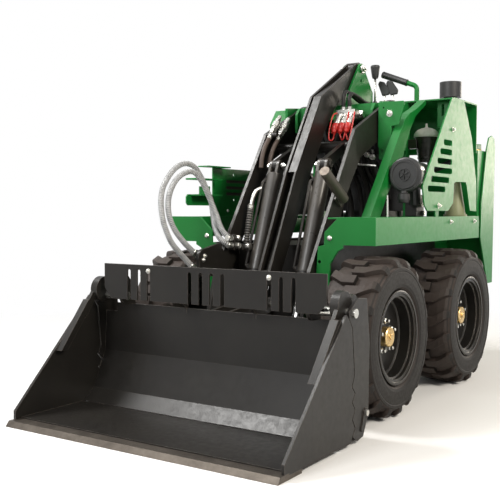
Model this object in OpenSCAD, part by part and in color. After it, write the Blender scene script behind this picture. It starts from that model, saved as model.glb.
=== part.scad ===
// Wheeled mini loader with a four-in-one bucket. Millimetres.
// Front is -Y, the machine's left is +X, up is +Z, the ground is Z = 0.

/* [Running gear] */
// Distance between the front and rear axles
wheelbase = 744; // [620:2:900]
// Tyre outside radius
tyre_r = 287; // [250:1:345]
// Tyre section width
tyre_w = 206; // [170:2:240]
// Outer face of the tyres from the centre line
tyre_out = 526; // [500:1:600]
// Rim flange radius
rim_r = 168; // [130:1:180]

/* [Frame] */
// Outer face of the side beams from the centre line
beam_out = 456; // [440:1:500]
// Top of the side beams
beam_top = 712; // [690:1:780]
// Height of the side beams
beam_h = 99; // [60:1:110]
// Half width of the frame tub
tub_half = 256; // [240:1:280]
// Thickness of the tub's side walls
tub_wall = 8; // [5:1:12]
// Top of the console
console_top = 1219; // [1200:1:1300]

/* [Loader arms] */
// Middle of each arm plate from the centre line
arm_x = 208; // [180:1:209]
// Arm plate thickness
arm_t = 14; // [10:1:20]
// Radius of the main arm pins
pin_r = 18; // [12:1:22]
// Lift cylinder barrel radius
barrel_r = 32; // [24:1:34]
// Lift cylinder rod radius
rod_r = 17; // [10:1:20]

/* [Bucket] */
// Overall bucket width
bucket_w = 1092; // [1080:2:1310]
// Bucket side plate thickness
side_t = 10; // [6:1:12]
// Half width of the slotted spill guard
guard_half = 471; // [420:1:480]
// Length of the jaw's floor in front of the blade
floor_len = 362; // [300:1:440]

/* [Hidden] */
$fn = 48;
GREEN = [0.11, 0.42, 0.18];
BLACK = [0.13, 0.12, 0.11];
STEEL = [0.72, 0.72, 0.70];
axle_y = wheelbase / 2;
tyre_c = tyre_out - tyre_w / 2;
half_w = bucket_w / 2;
// pivots as [y, z]
arm_pin = [220, 1152];
link_pin = [290, 1368];
tilt_pin = [-540, 170];
hitch_pin = tilt_pin + link_pin - arm_pin;
lift_top = [-180, 920];
lift_low = [-420, 270];
arm_tube = [-10, 1002];
low_tube = [-485, 245];
jaw_pin = [-781, 418];
clam_top = [-714, 450];
clam_low = [-698, 90];
link_mid = [-198, 885];
cyl_x = 112;
clam_x = half_w - 68;
lever_x = half_w - 54;
tub_front = -axle_y - 59;
tub_rear = axle_y + 268;
beam_rear = tub_rear + 28;
beam_bottom = beam_top - beam_h;
beam_in = beam_out - 60;
arm_in = arm_x - arm_t / 2;
arm_face = arm_x + arm_t / 2;
disc_in = tyre_out - 83;
disc_out = tyre_out - 71;
hub_out = tyre_out - 41;
// hoses carried by the right arm, as [x, y, z] with their radius in the table below
long_hose = [[-229, -582, 510], [-236, -604, 532], [-252, -650, 580], [-268, -680, 622], [-290, -694, 690],
  [-308, -686, 746], [-322, -668, 796], [-332, -636, 840], [-341, -572, 894], [-345, -500, 922],
      [-341, -440, 912],
  [-333, -400, 866], [-324, -382, 826], [-312, -368, 780], [-296, -376, 728], [-280, -390, 692],
      [-256, -412, 660],
  [-232, -426, 636], [-212, -430, 618], [-192, -424, 606], [-186, -412, 600], [-186, -400.4, 600]];
short_hose = [[-229, -568, 564], [-234, -600, 588], [-246, -630, 618], [-266, -662, 668], [-285, -670, 726],
  [-300, -650, 790], [-311, -600, 848], [-313, -540, 882], [-309, -484, 888], [-297, -450, 854],
      [-285, -428, 808],
  [-270, -412, 756], [-250, -410, 712], [-232, -416, 678], [-212, -420, 652], [-194, -418, 636],
      [-186, -411, 628],
  [-186, -400.4, 628]];
ribbed_hose = [[-170, -284, 758], [-170, -296, 706], [-170, -308, 654], [-170, -320, 606]];
left_drop = [[-182, -124, 1046], [-182, -166, 998], [-182, -186, 950], [-182, -192, 914]];
right_drop = [[-160, -92, 1040], [-160, -134, 994], [-160, -156, 950], [-160, -166, 914]];

// plate lying in a side plane: points are [y, z], from x0 to x1
module yz(x0, x1, pts) translate([x0, 0, 0]) rotate([90, 0, 90]) linear_extrude(x1 - x0) polygon(pts);
// plate facing the front: points are [x, z], from y0 to y1
module xz(y0, y1, pts) translate([0, y1, 0]) rotate([90, 0, 0]) linear_extrude(y1 - y0) polygon(pts);
module box(a, b) translate(a) cube(b - a);
// bar along X at [y, z]
module xbar(x0, x1, p, r) translate([x0, p[0], p[1]]) rotate([0, 90, 0]) cylinder(r = r, h = x1 - x0);
// bar along Y
module ybar(y0, y1, x, z, r) translate([x, y0, z]) rotate([-90, 0, 0]) cylinder(r = r, h = y1 - y0);
// round bar between two points
module rod3(a, b, r, r2 = -1) {
  d = b - a; l = norm(d);
  translate(a) rotate([0, acos(d[2] / l), atan2(d[1], d[0])]) cylinder(r1 = r, r2 = r2 < 0 ? r : r2, h = l);
}
function unit(v) = v / norm(v);
// bent tube through 3-D points, with a slightly drawn-in elbow of the given radius at each corner
module bent_tube(pts, r, bend) {
  n = len(pts) - 1;
  function turn(i) = i < 1 || i >= n ? 0 : acos(unit(pts[i] - pts[i - 1]) * unit(pts[i + 1] - pts[i]));
  function cut(i) = bend * tan(turn(i) / 2);
  for (i = [0:n - 1]) let (u = unit(pts[i + 1] - pts[i])) rod3(pts[i] + cut(i) * u, pts[i + 1] - cut(i + 1)
      * u, r);
  for (i = [1:n - 1]) let (u = unit(pts[i] - pts[i - 1]), v = unit(pts[i + 1] - pts[i]),
      w = unit(v - (u * v) * u),
      c = pts[i] - cut(i) * u + bend * w, k = cross(u, w))
    multmatrix([for (j = [0:2]) [-w[j], u[j], k[j], c[j]]]) rotate_extrude(angle = turn(i))
        translate([bend, 0]) circle(r - 0.2);
}
module pair() { children(); mirror([1, 0, 0]) children(); }
// moves a piece drawn along +Z from its lower pin to lie between two side-plane points
module along(p, q, x) translate([x, p[0], p[1]]) rotate([-atan2(q[0] - p[0], q[1] - p[1]), 0, 0]) children();
// flat eye in the local frame of along(): round end at the pin, running up to length l
module eye_plate(r, l, x0, x1, bore) translate([x0, 0, 0]) rotate([90, 0, 90]) linear_extrude(x1 - x0)
    difference() {
  union() { circle(r); translate([-r, 0]) square([2 * r, l]); }
  circle(bore);
}
// hose swept along its own route points, ten-sided
module hose(pts, r, sides = 10) {
  n = len(pts) - 1;
  function dir(i) = unit(pts[min(i + 1, n)] - pts[max(i - 1, 0)]);
  function up(i) = unit(cross(dir(i), [1, 0, 0]));
  function ring(i) = [for (k = [0:sides - 1]) pts[i] + r * (cos(360 * k / sides) * up(i)
    + sin(360 * k / sides) * cross(dir(i), up(i)))];
  polyhedron([for (i = [0:n]) each ring(i)], concat(
    [[for (k = [0:sides - 1]) k]], [[for (k = [sides - 1:-1:0]) n * sides + k]],
    [for (i = [0:n - 1], k = [0:sides - 1]) let (a = i * sides + k, b = i * sides + (k + 1) % sides)
      each [[a, a + sides, b], [b, a + sides, b + sides]]]));
}
function dist(p, q) = norm(p - q);
function arc2(c, r, a0, a1, n = 10) = [for (i = [0:n]) c + r * [cos(a0 + (a1 - a0) * i / n),
    sin(a0 + (a1 - a0) * i / n)]];

// frame
module frame_tub() color(GREEN) {
  inner = tub_half - tub_wall;
  pair() difference() {
    yz(inner, tub_half, [[tub_front, 250], [tub_front + 101, 150], [tub_rear - 80, 150], [tub_rear, 230],
      [tub_rear, beam_bottom - 2], [tub_front, beam_bottom - 2]]);
    for (y = [-axle_y, axle_y]) xbar(inner - 20, tub_half + 20, [y, tyre_r], 60.05);
  }
  box([-inner, -256, 150], [inner, tub_rear - 80, 158]);
  box([-inner, -256, 158], [inner, -248, 600]);
  box([-inner, tub_rear - 20, 240], [inner, tub_rear - 12, 600]);
  box([-inner, -248, 592], [inner, tub_rear - 20, 600]);
  pair() for (x = [cyl_x - 34, cyl_x + 22]) difference() {
    yz(x, x + 12, concat([[-256, 190], [-256, 340]], arc2(lift_low, 28, 100, 280)));
    xbar(x - 5, x + 20, lift_low, 14);
  }
}

module frame_pins() color(STEEL) pair() {
  xbar(arm_in - 25, arm_face + 29, arm_pin, pin_r - 0.05);
  for (x = [cyl_x - 40, cyl_x + 22]) xbar(x, x + 18, lift_low, 13.95);
}

module wheel_motors() pair() for (y = [-axle_y, axle_y]) {
  xbar(165, tyre_c - 26, [y, tyre_r], 60);
  xbar(tyre_c - 27, hub_out - 19, [y, tyre_r], 20);
}

// beam end plates with their bolt holes; the right one has its lower corner cut off
module end_plate(corner) difference() {
  xz(tub_front - 11, tub_front, concat([[beam_out + 2, beam_top + 1], [312, beam_top + 1], [255, 659],
      [253, 612],
    [228, 606], [222, 510], [222, 300], [276, 300], [276, 542], [308, 590], [330, 601],
        [330, beam_bottom]], corner));
  ybar(tub_front - 20, tub_front + 10, 234, 550, 6.5);
}
module side_beams() color(GREEN) {
  box([beam_in, tub_front, beam_bottom], [beam_out, beam_rear, beam_top]);
  box([262, tub_front, beam_top - 6], [beam_in, -60, beam_top]);
  end_plate([[beam_out + 2, beam_bottom]]);
  mirror([1, 0, 0]) {
    xz(tub_front, beam_rear, [[beam_in, beam_bottom + 14], [beam_out - 2, 671], [beam_out, 677],
        [beam_out, beam_top], [beam_in, beam_top]]);
    end_plate([[379, beam_bottom], [beam_out + 2, 674]]);
  }
  pair() box([218, 330, beam_top - 12], [beam_in, 390, beam_top]);
  pair() box([0, tub_rear - 40, beam_bottom - 2], [beam_in, tub_rear, beam_top - 12]);
}

// angle-section strut on the machine's left, bent to the console's edge
module pillar() color(GREEN) {
  front = [[-200, beam_top], [126, 1115], [171, 1142], [244, 1168], [353, console_top]];
  yz(284, 320, concat(front, [[353, console_top - 8], [246, 1161], [174, 1135], [130, 1109],
      [-192, beam_top]]));
  yz(314, 320, concat(front, [[353, console_top - 20], [238, 1137], [185, 1080], [108, 960], [-45, 798],
      [-108, beam_top]]));
}

module tower() color(GREEN) {
  pair() {
    difference() {
      yz(arm_face + 7, arm_face + 19, [[86, 950], [86, 1190], [240, 1205], [300, console_top - 6],
          [380, console_top - 6],
        [380, beam_top], [340, beam_top], [340, 1000], [250, 1000]]);
      xbar(arm_face, arm_face + 30, arm_pin, pin_r);
    }
    difference() {
      yz(arm_in - 25, arm_in - 13, [[95, 1080], [95, 1160], [120, 1190], [240, 1205], [344, 1205],
          [344, 1080]]);
      xbar(arm_in - 30, arm_in, arm_pin, pin_r);
    }
    difference() {
      yz(30, 40, concat([[150, 1190], [172, 1255]], arc2(link_pin, 24, 150, 20), [[406, 1275],
          [406, console_top], [353, console_top], [353, 1190]]));
      xbar(25, 45, link_pin, 14);
      xbar(25, 45, [287, 1315], 8);
    }
  }
  difference() {
    xz(78, 86, [[arm_face + 7, 1184], [arm_face + 7, 1000], [247, 987], [228, 949], [270, 947],
        [280, 985], [280, 1085],
      [311, 1089], [336, 1168], [331, 1184]]);
    ybar(70, 95, 246, 1160, 5);
  }
  box([-arm_in + 25, 120, 1130], [arm_in - 25, 344, 1190]);
  box([-arm_face - 10, 344, 1100], [arm_face + 10, 353, 1137]);
}

module console() color(GREEN) {
  edge = beam_out - 6;
  yz(-edge, edge, [[353, console_top - 6], [353, console_top], [640, console_top], [640, 1000],
      [634, 1000], [634, console_top - 6]]);
  yz(-edge, -337, [[300, 1115], [300, 1151], [353, console_top], [353, 1115]]);
  difference() {
    box([354, 400, 1100], [edge, 406, console_top - 6]);
    for (x = [372, 414]) box([x, 395, 1150], [x + 12, 410, 1200]);
  }
}

// each cooling slot: front end, back end and middle height, [y0, y1, z]
guard_slots = [[210, 308, 1020], [172, 308, 981], [142, 310, 941], [104, 312, 902], [72, 278, 864],
    [40, 234, 825]];
module side_plates() color(GREEN) {
  difference() {
    yz(beam_out - 6, beam_out, [[305, 1213], [391, 1217], [450, 1214], [558, 1055], [623, 861],
        [628, 733], [542, 737], [496, 848],
      [481, 862], [358, 860], [337, 853], [327, 770], [269, 736], [39, 736], [9, 759], [-11, 833],
          [223, 1119]]);
    for (s = guard_slots) slot(beam_out, s, 12);
    for (p = [[314, 1079], [157, 757]]) xbar(beam_out - 10, beam_out + 5, p, 5);
  }
  box([beam_out - 12, 140, beam_top], [beam_out - 6, 175, 775]);
  mirror([1, 0, 0]) {
    difference() {
      yz(beam_out - 6, beam_out, [[-163, beam_top], [-163, 922], [620, 922], [620, beam_top]]);
      for (z = [866, 838, 811]) slot(beam_out, [-65, 108, z], 7);
      for (p = [[-5, 897], [-3, 784]]) xbar(beam_out - 10, beam_out + 5, p, 6);
    }
    yz(beam_out - 6, beam_out, [[-163, 758], [-340, 758], [-350, 768], [-350, 795], [-340, 805],
        [-163, 805]]);
    box([beam_out - 56, -320, 799], [beam_out - 6, -163, 805]);
    box([beam_out - 56, -349, 865], [beam_out, -163, 872]);
    box([beam_out - 56, -263, 922], [beam_out, -100, 927]);
    translate([beam_out - 30, -258, 805]) cylinder(r = 24, h = 34);
  }
}
// round-ended slot through the side plate whose outer face is at x; s = [y0, y1, z]
module slot(x, s, r) {
  box([x - 10, s[0] + r, s[2] - r], [x + 5, s[1] - r, s[2] + r]);
  for (y = [s[0] + r, s[1] - r]) xbar(x - 10, x + 5, [y, s[2]], r);
}

module rear_plates() color(GREEN) translate([0, tub_rear - 640, 0]) {
  pair() yz(beam_out - 6, beam_out, [[767, 1022], [800, 1080], [842, 1092], [880, 1080], [892, 1040],
      [873, 392], [803, 392], [692, 614], [700, 770]]);
  box([-beam_out + 6, 800, 400], [beam_out - 6, 808, 700]);
  pair() box([tub_half - tub_wall, 640, 420], [tub_half, 800, 600]);
}

module fuel_tank() color(GREEN) translate([0, tub_rear - 640, 0]) {
  box([200, 672, 662], [445, 800, 1015]);
  translate([415, 735, 1015]) cylinder(r = 24, h = 30);
}

module engine_block() color(BLACK) box([-215, 381, 600], [215, tub_rear - 40, 950]);

// drum lying along Y in its strap, with the intake elbow below
module air_cleaner() color(BLACK) {
  ybar(-45, -15, 390, 878, 69);
  ybar(-16, 120, 390, 878, 55);
  ybar(-4, 24, 390, 878, 58);
  box([320, -4, 858], [336, 24, 898]);
  rod3([390, 60, 840], [390, 60, 760], 26);
}

module pre_cleaner() color(BLACK) {
  translate([338, 600, console_top]) {
    cylinder(r = 30, h = 34);
    translate([0, 0, 34]) cylinder(r = 49, h = 70);
  }
  bent_tube([[400, 475, console_top - 6], [400, 475, 1150], [400, 525, 960], [221, 525, 902]], 16, 40);
}

module filter_canister() color(STEEL) translate([300, 410, 950]) {
  cylinder(r1 = 34, r2 = 52, h = 110);
  translate([0, 0, 109]) cylinder(r = 50, h = 42);
  translate([0, 0, 151]) cylinder(r1 = 40, r2 = 20, h = 9);
  translate([0, 0, 160]) cylinder(r = 5, h = 12);
  box([arm_face + 19 - 300, -50, 60], [-25, -30, 100]);
}

module muffler() color(STEEL) translate([385, 550, 0]) {
  translate([0, 0, beam_top]) cylinder(r = 52, h = 8);
  translate([0, 0, beam_top + 8]) cylinder(r1 = 46, r2 = 23, h = 145);
}

module hand_rail() color(GREEN)
  bent_tube([[236, 450, console_top], [236, 450, 1296], [70, 450, 1361]], 11, 25);

// stick and tapered knob, then two levers with flat blades
module control_levers() color(BLACK) {
  translate([45, 420, console_top]) cylinder(r = 5, h = 125);
  translate([45, 420, 1342]) cylinder(r1 = 15, r2 = 22, h = 60);
  for (x = [85, 125]) {
    translate([x, 440, console_top]) cylinder(r = 4.5, h = 60);
    xz(435, 445, [[x - 12, 1262], [x - 34, 1318], [x - 26, 1332], [x - 4, 1326], [x + 26, 1284],
        [x + 22, 1266]]);
  }
}

coupler_x = [62, 90, 118];
module coupler_block() color(STEEL) {
  box([45, 40, 1120], [132, 120, 1160]);
  for (x = coupler_x) rod3([x, 42, 1138], [x, 4, 1082], 12);
}

// arms
arm_pts = concat(arc2(arm_pin, 58, -60, 115), [[-119, 1060], [-477, 514]],
  arc2(tilt_pin, 42, 155, 330), [[-370, 505], [-187, 805], [-72, 950]]);
module lift_arms() color(BLACK) {
  pair() difference() {
    yz(arm_in, arm_face, arm_pts);
    xbar(arm_in - 50, arm_face + 45, arm_pin, pin_r);
    xbar(arm_in - 50, arm_face + 45, tilt_pin, 15);
  }
  xbar(-arm_in, arm_in, arm_tube, 22);
  xbar(-arm_in, arm_in, low_tube, 25);
  pair() {
    yz(cyl_x - 10, cyl_x + 10, concat(arc2(lift_top, 24, 115, 300), [[0, 990], [-22, 1018]]));
    xbar(cyl_x - 30, cyl_x + 30, lift_top, 13.95);
  }
  // ear on the right arm, and the blocks and bosses that the hose ends screw into
  yz(-arm_face, -arm_in, concat([[-420, 560], [-455, 610]], arc2([-562, 556], 33, 100, 200), [[-590, 496],
      [-572, 482], [-487, 482]]));
  for (p = [[-557, 555.8], [-571.5, 499.5]]) xbar(-arm_face - 27, -arm_in, p, 12);
  for (p = [[-117.3, 1053.6], [-85, 1047.8]]) xbar(-arm_in, -150, p, 10);
  box([-arm_in, -400, 580], [-174, -365, 642]);
  box([-arm_in, -366, 580], [-156, -306, 602.8]);
}

module lock_bar() color(BLACK) {
  rod3([arm_face + 24, -262, 780], [arm_face + 24, -416, 881], 20);
  yz(arm_face, arm_face + 9, [[-300, 780], [-270, 815], [-235, 790], [-250, 750]]);
}

module arm_hoses() color(BLACK) {
  for (h = [[long_hose, 11], [short_hose, 11], [ribbed_hose, 13], [left_drop, 8],
      [right_drop, 8]]) hose(h[0], h[1]);
}

// levelling link: two plates with flanges along their edges, around the tilt cylinder's barrel
link_front = [[-55, 1210], [-258, 890]];
link_back = [[-137, 893], [-20, 1073], [77, 1182]];
module link_bar() color(STEEL) xbar(-46, 46, link_pin, 13.95);
module tilt_link() color(BLACK) difference() {
  u = (hitch_pin - link_mid) / dist(hitch_pin, link_mid);
  n = [u[1], -u[0]];
  e = hitch_pin - 75 * u;
  outline = concat(arc2(link_pin, 30, -60, 120), link_front, [e + 38 * n, e - 34 * n], link_back);
  union() {
    yz(18, 26, outline);
    yz(-28, -18, outline);
    yz(-9, 19, [[268, 1360], link_front[0], link_front[1], [-250, 885], [-48, 1204], [272, 1352]]);
    yz(-9, 19, [link_back[0], link_back[1], link_back[2], [288, 1327], [285, 1334], [72, 1189],
        [-27, 1078], [-144, 898]]);
    along(hitch_pin, link_mid, 0) translate([0, 0, 76]) cylinder(r = 18.5, h = 300);
    xbar(-28, 26, link_pin, 30);
  }
  xbar(-40, 40, link_pin, 14);
  along(hitch_pin, link_mid, 0) cylinder(r = 14.05, h = 330);
}

module tilt_rod() color(STEEL) {
  difference() {
    union() {
      along(hitch_pin, link_mid, 0) translate([0, 0, 10]) cylinder(r = 14, h = 280);
      xbar(-22, 22, hitch_pin, 24);
    }
    xbar(-30, 30, hitch_pin, 12);
  }
  xbar(-26, 26, hitch_pin, 11.95);
}

// lift cylinders
module lift_barrel(s) color(BLACK) mirror([s < 0 ? 1 : 0, 0, 0]) along(lift_top, lift_low, cyl_x) {
  difference() {
    translate([0, 0, 40]) cylinder(r = barrel_r, h = 420);
    translate([0, 0, 65]) cylinder(r = rod_r + 0.05, h = 500);
  }
  for (x = [-22, 11]) eye_plate(24, 46, x, x + 11, 14);
}
module lift_rod(s) color(STEEL) mirror([s < 0 ? 1 : 0, 0, 0]) {
  difference() {
    union() {
      along(lift_low, lift_top, cyl_x) translate([0, 0, 10]) cylinder(r = rod_r, h = dist(lift_low,
          lift_top) - 95);
      xbar(cyl_x - 16, cyl_x + 16, lift_low, 27);
    }
    xbar(cyl_x - 40, cyl_x + 40, lift_low, 14);
  }
  xbar(cyl_x - 18, cyl_x + 18, lift_low, 13.95);
}
module lift_barrel_left() lift_barrel(1);
module lift_barrel_right() lift_barrel(-1);
module lift_rod_left() lift_rod(1);
module lift_rod_right() lift_rod(-1);

// bucket
split = [[-812, 404], [-789, 373], [-773, 222], [-790, 190], [-768, 165], [-788, 140], [-767, 112],
    [-786, 85], [-766, 55], [-785, 30]];
module back_blade() color(BLACK) {
  inner = half_w - side_t;
  pair() {
    difference() {
      yz(inner, half_w, concat([[-814, 426], [-749, 463], [-691, 458], [-669, 308], [-673, 243],
          [-675, 92], [-686, 60], [-712, 16], [-752, 10]], [for (i = [len(split) - 1:-1:0]) split[i]]));
      xbar(inner - 20, half_w + 5, clam_low, 10);
      xbar(inner - 20, half_w + 5, jaw_pin, 15);
    }
    difference() {
      yz(half_w, half_w + 4, concat(arc2([-719, 44], 13, 120, 300), arc2(clam_low, 16, -40, 150)));
      xbar(half_w - 5, half_w + 5, clam_low, 10);
    }
  }
  difference() {
    yz(-inner, inner, [[-817, 66], [-752, 200], [-742, 385], [-734, 385], [-744, 198], [-807, 57]]);
    pair() box([lever_x - 12, -760, 352], [inner, -700, 400]);
  }
  yz(-inner, inner, [[-868, 22], [-860, 14], [-807, 57], [-817, 66]]);
  yz(-inner, inner, [[-812, 9], [-752, 9], [-752, 17], [-812, 17]]);
  yz(-inner, inner, [[-760, 17], [-752, 17], [-752, 180], [-760, 180]]);
  pair() {
    difference() {
      yz(392, 404, concat([[-742, 300], [-742, 385]], arc2(jaw_pin, 34, 250, 180), [[-815, 430],
          [-815, 520], [-800, 520], [-742, 452], [-730, 300]]));
      xbar(380, 420, jaw_pin, 15);
    }
    yz(144, 156, [[-742, 340], [-744, 386], [-815, 440], [-815, 520], [-800, 520], [-734, 440],
        [-732, 340]]);
    for (x = [arm_in - 31, arm_face + 10]) difference() {
      yz(x, x + 12, concat([[-752, 150], [-740, 300]], arc2(tilt_pin, 38, 80, -90)));
      xbar(x - 5, x + 20, tilt_pin, 15);
    }
    difference() {
      yz(33, 45, concat([[-738, 300], [-736, 384]], arc2(hitch_pin, 26, 95, -75)));
      xbar(25, 50, hitch_pin, 12);
    }
  }
}

module bucket_pins() color(STEEL) pair() {
  xbar(392, half_w + 8, jaw_pin, 14.95);
  xbar(arm_in - 36, arm_face + 27, tilt_pin, 14.95);
  xbar(33, 52, hitch_pin, 11.95);
  xbar(clam_x - 30, half_w + 10, clam_low, 9.95);
}

slots = [-350, -303, -257, -70, -23, 23, 70, 257, 303, 350];
module spill_guard() color(BLACK) difference() {
  xz(-821, -815, [[-guard_half, 540], [guard_half, 540], [guard_half, 450], [440, 411], [-440, 411],
      [-guard_half, 450]]);
  for (x = slots) xz(-830, -810, concat(
    [for (i = [0:8]) [x + 8 * cos(180 * i / 8), 515 + 8 * sin(180 * i / 8)]],
    [for (i = [0:8]) [x + 8 * cos(180 + 180 * i / 8), 408 + 8 * sin(180 + 180 * i / 8)]]));
}

module jaw() color(BLACK) {
  front = -868 - floor_len;
  inner = half_w - side_t;
  pair() {
    yz(inner, half_w, concat([[front + 60, 18], [front + 35, 18], [front + 35, 47], [-832, 418]],
        [for (p = split) p - [5, 0]], [[-795, 12], [front + 60, 12]]));
    // hinge drum, the lever to the clam cylinder and the bar down the side plate
    difference() {
      union() {
        xbar(lever_x, lever_x + 30, [-795, 440], 48);
        yz(lever_x, lever_x + 20, concat([[-790, 400]], arc2(clam_top, 20, -60, 90), [[-790, 455]]));
      }
      xbar(lever_x - 5, lever_x + 35, jaw_pin, 15);
    }
    yz(lever_x + 16, lever_x + 30, [[-880, 340], [-880, 385], [-830, 450], [-820, 420], [-842, 395]]);
    yz(lever_x + 16, inner, [[-1006, 232], [-976, 232], [-850, 385], [-850, 405], [-868, 405]]);
  }
  yz(-inner, inner, [[front + 60, 12], [-875, 12], [-875, 22], [front + 60, 22]]);
}

module cutting_edge() color(STEEL) yz(-half_w, half_w,
  [[-868 - floor_len, 0], [-1100, 0], [-1100, 12], [-808 - floor_len, 12], [-808 - floor_len, 18],
      [-854 - floor_len, 18]]);

module clam_barrel(s) color(BLACK) mirror([s < 0 ? 1 : 0, 0, 0]) difference() {
  l = dist(clam_low, clam_top);
  union() {
    along(clam_low, clam_top, clam_x) translate([0, 0, 12]) cylinder(r = 15, h = l - 96);
    xbar(clam_x - 12, clam_x + 12, clam_low, 17);
  }
  xbar(clam_x - 20, clam_x + 20, clam_low, 10);
  along(clam_low, clam_top, clam_x) translate([0, 0, 60]) cylinder(r = 8.05, h = l);
}
module clam_rod(s) color(STEEL) mirror([s < 0 ? 1 : 0, 0, 0]) {
  l = dist(clam_low, clam_top);
  difference() {
    union() {
      along(clam_low, clam_top, clam_x) translate([0, 0, 125]) cylinder(r = 8, h = l - 133);
      xbar(clam_x - 10, clam_x + 10, clam_top, 16);
    }
    xbar(clam_x - 20, clam_x + 20, clam_top, 8.05);
  }
  xbar(clam_x - 13, clam_x + 12, clam_top, 8);
}
module clam_barrel_left() clam_barrel(1);
module clam_barrel_right() clam_barrel(-1);
module clam_rod_left() clam_rod(1);
module clam_rod_right() clam_rod(-1);

// wheels
module at_wheel(sx, sy) translate([0, sy * axle_y, tyre_r]) mirror([sx < 0 ? 1 : 0, 0, 0])
    rotate([0, 90, 0]) children();
module rim(sx, sy) color(BLACK) at_wheel(sx, sy) rotate_extrude() polygon([
  [20.05, disc_in], [122, disc_in], [122, tyre_c - 48], [142, tyre_c - 60], [142, tyre_c - 95],
      [rim_r, tyre_c - 97],
  [rim_r, tyre_c - 89], [150, tyre_c - 85], [150, tyre_c - 58], [130, tyre_c - 44], [130, tyre_c + 12],
      [150, tyre_c + 34],
  [150, tyre_out - 19], [rim_r - 2, tyre_out - 16], [rim_r, tyre_out - 13], [rim_r, tyre_out - 7],
      [rim_r - 3, tyre_out - 5.5],
  [158, tyre_out - 5.5], [157, tyre_out - 11], [148, tyre_out - 12], [147, tyre_out - 25],
      [142, tyre_out - 27],
  [142, disc_out + 4], [137, disc_out], [36, disc_out], [36, hub_out - 3], [33, hub_out], [0, hub_out],
      [0, hub_out - 18],
  [20.05, hub_out - 18]]);
module tyre(sx, sy) color([0.2, 0.18, 0.17]) at_wheel(sx, sy) rotate_extrude()
  polygon([[150, tyre_c - 80], [rim_r + 4, tyre_c - 80], [215, tyre_c - 100], [250, tyre_c - 103],
      [tyre_r - 14, tyre_c - 88], [tyre_r, tyre_c - 60], [tyre_r, tyre_c + 60],
    [tyre_r - 14, tyre_c + 88], [250, tyre_c + 103], [215, tyre_c + 100], [rim_r + 4, tyre_c + 80],
        [150, tyre_c + 80]]);
module rim_fl() rim(1, -1);
module rim_fr() rim(-1, -1);
module rim_rl() rim(1, 1);
module rim_rr() rim(-1, 1);
module tyre_fl() tyre(1, -1);
module tyre_fr() tyre(-1, -1);
module tyre_rl() tyre(1, 1);
module tyre_rr() tyre(-1, 1);

frame_tub();
frame_pins();
wheel_motors();
side_beams();
pillar();
tower();
console();
side_plates();
rear_plates();
fuel_tank();
engine_block();
air_cleaner();
pre_cleaner();
filter_canister();
muffler();
hand_rail();
control_levers();
coupler_block();
lift_arms();
lock_bar();
arm_hoses();
link_bar();
tilt_link();
tilt_rod();
lift_barrel_left();
lift_barrel_right();
lift_rod_left();
lift_rod_right();
back_blade();
bucket_pins();
spill_guard();
jaw();
cutting_edge();
clam_barrel_left();
clam_barrel_right();
clam_rod_left();
clam_rod_right();
rim_fl();
rim_fr();
rim_rl();
rim_rr();
tyre_fl();
tyre_fr();
tyre_rl();
tyre_rr();
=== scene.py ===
import math
import bmesh
import bpy
from mathutils import Matrix, Vector


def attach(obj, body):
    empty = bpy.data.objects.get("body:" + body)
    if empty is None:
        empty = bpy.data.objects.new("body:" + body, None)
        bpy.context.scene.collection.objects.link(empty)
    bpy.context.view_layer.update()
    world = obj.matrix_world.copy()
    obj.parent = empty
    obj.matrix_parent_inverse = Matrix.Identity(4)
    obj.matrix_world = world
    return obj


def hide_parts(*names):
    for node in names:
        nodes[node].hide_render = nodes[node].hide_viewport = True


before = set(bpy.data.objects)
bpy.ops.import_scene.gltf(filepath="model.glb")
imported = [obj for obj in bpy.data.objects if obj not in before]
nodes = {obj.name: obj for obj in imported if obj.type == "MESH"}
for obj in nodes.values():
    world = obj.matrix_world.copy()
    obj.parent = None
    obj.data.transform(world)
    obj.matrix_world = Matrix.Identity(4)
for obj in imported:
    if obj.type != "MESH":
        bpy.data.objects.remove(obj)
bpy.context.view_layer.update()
print("frame loaded:", len(nodes), "nodes")

# camera: a long lens at hip height, in front of the machine's left wheel
cameraPlace = {"at": (1.6993, -3.0917, 0.7386), "yaw": 33.732, "down": 2.7596, "roll": 0.05, "lens": 59.66}


def addCamera(place):
    data = bpy.data.cameras.new("camera")
    data.lens = place["lens"]
    data.sensor_width = 36
    camera = bpy.data.objects.new("camera", data)
    bpy.context.collection.objects.link(camera)
    yaw, down = math.radians(place["yaw"]), math.radians(place["down"])
    forward = Vector((-math.sin(yaw) * math.cos(down), math.cos(yaw) * math.cos(down), -math.sin(down)))
    turn = forward.to_track_quat("-Z", "Y").to_matrix() @ Matrix.Rotation(math.radians(place["roll"]), 3, "Z")
    camera.matrix_world = Matrix.Translation(place["at"]) @ turn.to_4x4()
    bpy.context.scene.camera = camera


addCamera(cameraPlace)


# sRGB hex to a linear colour with its alpha
def linear(code):
    parts = [int(code[i:i + 2], 16) / 255 for i in (1, 3, 5)]
    return [p / 12.92 if p <= 0.04045 else ((p + 0.055) / 1.055) ** 2.4 for p in parts] + [1.0]


def addNode(tree, kind, settings=None, links=None):
    node = tree.nodes.new(kind)
    for name, value in (settings or {}).items():
        if isinstance(name, str) and hasattr(node, name):
            setattr(node, name, value)
        else:
            node.inputs[name].default_value = value
    for name, source in (links or {}).items():
        tree.links.new(source, node.inputs[name])
    return node


def newMaterial(name, **shader):
    material = bpy.data.materials.new(name)
    material.use_nodes = True
    tree = material.node_tree
    tree.nodes.clear()
    surface = addNode(tree, "ShaderNodeBsdfPrincipled", shader)
    addNode(tree, "ShaderNodeOutputMaterial", links={"Surface": surface.outputs[0]})
    place = addNode(tree, "ShaderNodeTexCoord").outputs["Object"]
    return material, tree, surface, place


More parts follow.
